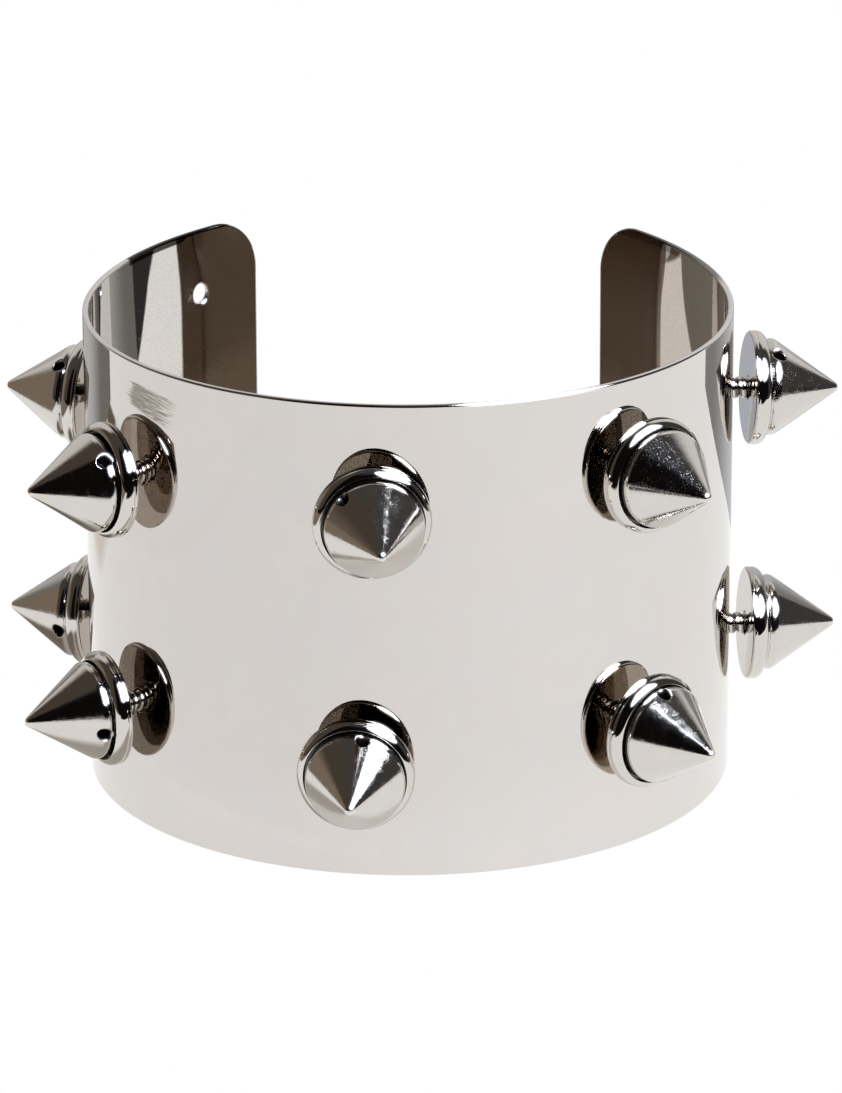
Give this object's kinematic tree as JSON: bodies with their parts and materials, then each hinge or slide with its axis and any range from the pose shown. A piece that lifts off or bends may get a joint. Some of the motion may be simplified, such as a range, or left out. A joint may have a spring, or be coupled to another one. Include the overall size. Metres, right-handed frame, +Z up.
{
  "type": "studded cuff bracelet",
  "caption": "Wide open cuff of polished sheet metal, worn round the wrist, with two rows of cone spikes, each seated in a round dished cup on a screw post.",
  "frame": {"origin": "centre of the round front's arc, on the plane of the bottom edge: the middle of the wrist opening", "axes": "+Z up along the wrist, -Y to the front between the two centre studs' column, +X to the right as seen from the front, the open gap at +Y"},
  "size_m": [0.0842, 0.074, 0.0476],
  "materials": {
    "cuff_sheet": "mirror polished sheet with faint handling marks",
    "screw_metal": "bright plated screw thread",
    "cup_metal": "mirror polished",
    "spike_metal": "mirror polished, with fine rub marks"
  },
  "bodies": {
    "root": {"cuff": "cuff_sheet", "screw_far_left_upper": "screw_metal", "screw_far_left_lower": "screw_metal", "screw_front_left_upper": "screw_metal", "screw_front_left_lower": "screw_metal", "screw_centre_upper": "screw_metal", "screw_centre_lower": "screw_metal", "screw_front_right_upper": "screw_metal", "screw_front_right_lower": "screw_metal", "screw_far_right_upper": "screw_metal", "screw_far_right_lower": "screw_metal", "cup_far_left_upper": "cup_metal", "cup_far_left_lower": "cup_metal", "cup_front_left_upper": "cup_metal", "cup_front_left_lower": "cup_metal", "cup_centre_upper": "cup_metal", "cup_centre_lower": "cup_metal", "cup_front_right_upper": "cup_metal", "cup_front_right_lower": "cup_metal", "cup_far_right_upper": "cup_metal", "cup_far_right_lower": "cup_metal", "spike_far_left_upper": "spike_metal", "spike_far_left_lower": "spike_metal", "spike_front_left_upper": "spike_metal", "spike_front_left_lower": "spike_metal", "spike_centre_upper": "spike_metal", "spike_centre_lower": "spike_metal", "spike_front_right_upper": "spike_metal", "spike_front_right_lower": "spike_metal", "spike_far_right_upper": "spike_metal", "spike_far_right_lower": "spike_metal"}
  },
  "joints": []
}
